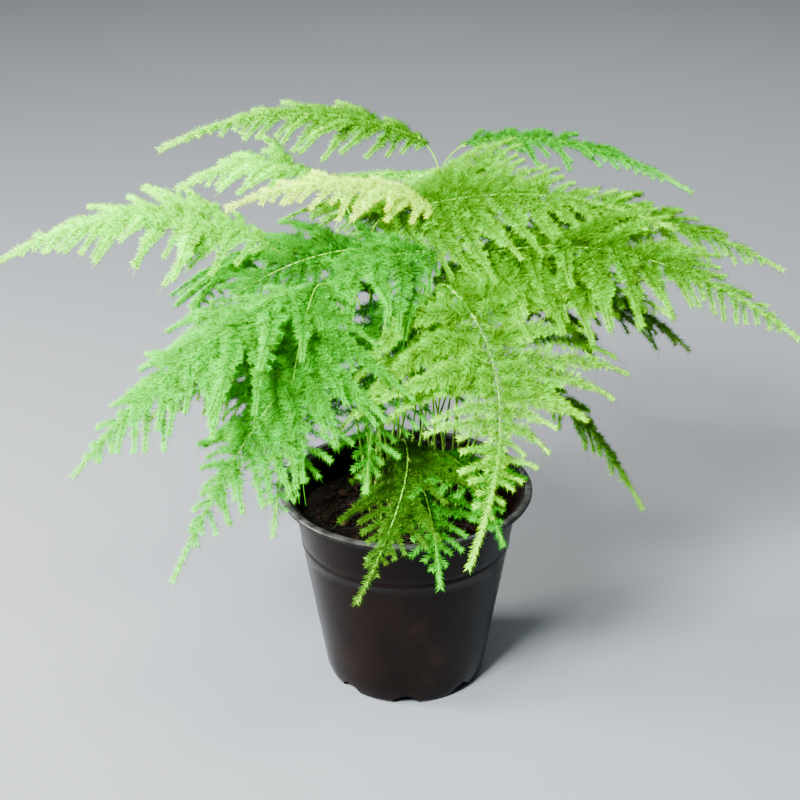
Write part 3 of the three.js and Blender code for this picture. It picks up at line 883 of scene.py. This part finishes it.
def build_pot():
    """The pot: a turned solid with its drain notches cut out."""
    pot = lathe(pot_outline(), POT_SIDES, "Pot")
    cutter = notch_cutters()
    cut = pot.modifiers.new("Notches", "BOOLEAN")
    cut.operation = "DIFFERENCE"
    cut.object = cutter
    cut.solver = "EXACT"
    bpy.context.view_layer.update()
    evaluated = pot.evaluated_get(bpy.context.evaluated_depsgraph_get())
    shaped = bpy.data.meshes.new_from_object(evaluated)
    pot.modifiers.clear()
    pot.data = shaped
    bpy.data.objects.remove(cutter)
    shaped.shade_smooth()
    shaped.set_sharp_from_angle(angle=math.radians(SHARP_FROM))
    shaped.materials.clear()
    shaped.materials.append(plastic())
    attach(pot, BODY)
    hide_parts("pot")


def build_soil():
    """The bed, rumpled, and strewn with crumbs and coir fibres."""
    rng = np.random.default_rng(BED_SEED)
    skin = Skin()
    reach = wall_radius(SOIL_LEVEL) - WALL - SOIL_GAP
    rings, sides = BED_RINGS, BED_SIDES
    radius = np.linspace(0, reach, rings)[1:]
    angle = np.arange(sides) * 2 * math.pi / sides
    r, a = np.meshgrid(radius, angle, indexing="ij")
    waves = rng.uniform(0, FULL_TURN, (BED_WAVES, 3))[:, :2]
    x, y = r * np.cos(a), r * np.sin(a)
    rumple = np.zeros_like(x)
    for k, (heading, phase) in enumerate(waves):
        pitch = (0.35 + 0.16 * k) / (2 * MM)
        ridge = x * math.cos(heading) + y * math.sin(heading)
        rumple += np.sin(ridge * pitch + phase) / (1 + 0.35 * k)
    rumple *= RUMPLE
    z = soil_height(r) - SOIL_SUNK + rumple + rng.normal(0, BED_ROUGH, r.shape)
    verts = np.stack([x, y, z], -1).reshape(-1, 3)
    count = len(verts)
    foot = wall_radius(SOIL_FOOT) - WALL - SOIL_GAP
    skirt = np.stack([foot * np.cos(angle), foot * np.sin(angle), np.full(sides, SOIL_FOOT)], -1)
    poles = [[0, 0, soil_height(0.0) - SOIL_SUNK], [0, 0, SOIL_FOOT]]
    verts = np.concatenate([verts, skirt, poles])
    tris = []
    for i in range(rings - 2):
        k = np.arange(sides)
        near, side = i * sides + k, i * sides + (k + 1) % sides
        tris += [np.stack([near, near + sides, side + sides], -1),
                 np.stack([near, side + sides, side], -1)]
    k = np.arange(sides)
    turn = (k + 1) % sides
    rim = (rings - 2) * sides
    tris += [np.stack([rim + k, count + k, count + turn], -1),
             np.stack([rim + k, count + turn, rim + turn], -1),
             np.stack([np.full(sides, count + sides), k, turn], -1),
             np.stack([np.full(sides, count + sides + 1), count + turn, count + k], -1)]
    tone = np.clip(rng.gamma(2.2, 0.11, len(verts)), 0.01, 0.95)
    skin.add(verts, np.concatenate(tris), tone, rng.uniform(0.05, 0.95, len(verts)))

    # crumbs: squashed, rough octahedra
    shape = np.array([(1, 0, 0), (-1, 0, 0), (0, 1, 0), (0, -1, 0), (0, 0, 1), (0, 0, -1)], float)
    faces = np.array([(0, 2, 4), (2, 1, 4), (1, 3, 4), (3, 0, 4),
                      (2, 0, 5), (1, 2, 5), (3, 1, 5), (0, 3, 5)])
    size = np.minimum(GRAIN * rng.lognormal(0, GRAIN_SPREAD, CRUMBS), LARGEST_CRUMB)
    away = np.sqrt(rng.uniform(0, 1, CRUMBS)) * (reach - size)
    angle = rng.uniform(0, FULL_TURN, CRUMBS)
    height = soil_height(away) - CRUMB_SUNK + size * 0.35
    centre = np.stack([away * np.cos(angle), away * np.sin(angle), height], -1)
    rough = rng.uniform(0.62, 1.15, (CRUMBS, 6, 1)) * shape
    spin = rng.normal(0, 1, (CRUMBS, 3, 3))
    first = unit(spin[:, 0])
    second = unit(np.cross(first, spin[:, 1]))
    axes = np.stack([first, second, np.cross(first, second)], 1)
    body = np.einsum("nij,njk->nik", rough, axes) * size[:, None, None]
    body[..., 2] *= CRUMB_SQUASH
    tone = np.clip(rng.gamma(2.4, 0.13, CRUMBS), 0.02, 0.97)[:, None]
    tone = tone + rng.normal(0, 0.02, (CRUMBS, 6))
    tris = np.arange(CRUMBS)[:, None, None] * 6 + faces
    chance = rng.uniform(0.05, 0.95, (CRUMBS, 1))
    skin.add(centre[:, None] + body, tris, np.clip(tone, 0.005, 0.995), chance)

    # coir fibres lying on the bed
    for _ in range(FIBRES):
        away = math.sqrt(rng.uniform(0, 1)) * (reach - FIBRE_INSET)
        turn, heading = rng.uniform(0, FULL_TURN, 2)
        length = rng.uniform(*FIBRE_LENGTH) * MM
        v = np.linspace(-0.5, 0.5, 6)
        bend = heading + rng.normal(0, 0.9) * v * 2
        x = away * math.cos(turn) + length * v * np.cos(bend)
        y = away * math.sin(turn) + length * v * np.sin(bend)
        z = soil_height(np.hypot(x, y)) + rng.uniform(-0.2, 0.7) * MM
        z = z + FIBRE_ARCH * np.cos(v * math.pi)
        path = np.stack([x, y, z], -1)
        radius = rng.uniform(*FIBRE_RADIUS) * MM
        tube(skin, path, radius, rng.uniform(*FIBRE_TONE), MIDDLE, sides=3)

    bed = skin.piece("Soil", ground())
    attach(bed, BODY)
    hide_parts("soil")


build_pot()
build_soil()
build_fronds()


# ---- camera, light and floor ---------------------------------------------------

# metres and degrees, and millimetres for the lens and the sensor
CAMERA_DISTANCE = 0.9
CAMERA_ELEVATION = 28
CAMERA_TILT = 25.25
CAMERA_PAN = 0.213
CAMERA_LENS = 78.75
CAMERA_SENSOR = 36
FLOOR_HALF = 12.0
FLOOR_PAINT = (0.118, 0.131, 0.144, 1)
SKY = (0.86, 0.92, 1.0, 1)
SKY_STRENGTH = 0.30
LAMP_AIM = (0, 0, 0.17)

# name, place, side in metres, power in watts, colour
LAMPS = [
    ("Key", (-0.55, -1.0, 1.2), 0.35, 185, (0.98, 0.99, 1.0)),
    ("Top", (0.05, -0.55, 1.5), 0.3, 36, (1.0, 0.98, 0.92)),
    ("Window", (-0.95, -0.05, 0.42), 0.35, 62, (1.0, 0.94, 0.88)),
    ("Back", (0.3, 1.2, 1.2), 0.9, 12, (1.0, 1.0, 1.0)),
]


def camera():
    """Looks down at the rim's centre from the front, as a person holding the pot would."""
    elevation = math.radians(CAMERA_ELEVATION)
    target = np.array([0, 0, POT_HEIGHT])
    place = target + CAMERA_DISTANCE * np.array([0, -math.cos(elevation), math.sin(elevation)])
    data = bpy.data.cameras.new("Camera")
    data.lens = CAMERA_LENS
    data.sensor_width = CAMERA_SENSOR
    view = placed("Camera", data)
    view.location = place
    # the rim sits a little below and right of the frame's centre
    view.rotation_euler = (math.radians(90 - CAMERA_TILT), 0, math.radians(CAMERA_PAN))
    bpy.context.scene.camera = view


def lamp(name, place, size, power, colour):
    """A square area lamp that faces the middle of the plant."""
    data = bpy.data.lights.new(name, "AREA")
    data.size = size
    data.energy = power
    data.color = colour
    light = placed(name, data)
    light.location = place
    aim = Vector(LAMP_AIM) - Vector(place)
    light.rotation_euler = aim.to_track_quat("-Z", "Y").to_euler()


def studio():
    """A plain pale floor, soft sky light and four soft lamps."""
    mesh = bpy.data.meshes.new("Floor")
    half = FLOOR_HALF
    corners = [(-half, -half, 0), (half, -half, 0), (half, half, 0), (-half, half, 0)]
    mesh.from_pydata(corners, [], [(0, 1, 2, 3)])
    material, nodes, _ = material_nodes("floor_paint")
    shader = nodes["Principled BSDF"]
    shader.inputs["Base Color"].default_value = FLOOR_PAINT
    shader.inputs["Roughness"].default_value = 0.9
    mesh.materials.append(material)
    floor = placed("Floor", mesh)
    world = bpy.data.worlds.new("Studio")
    world.use_nodes = True
    sky = world.node_tree.nodes["Background"]
    sky.inputs["Color"].default_value = SKY
    sky.inputs["Strength"].default_value = SKY_STRENGTH
    bpy.context.scene.world = world
    for row in LAMPS:
        lamp(*row)


camera()
studio()
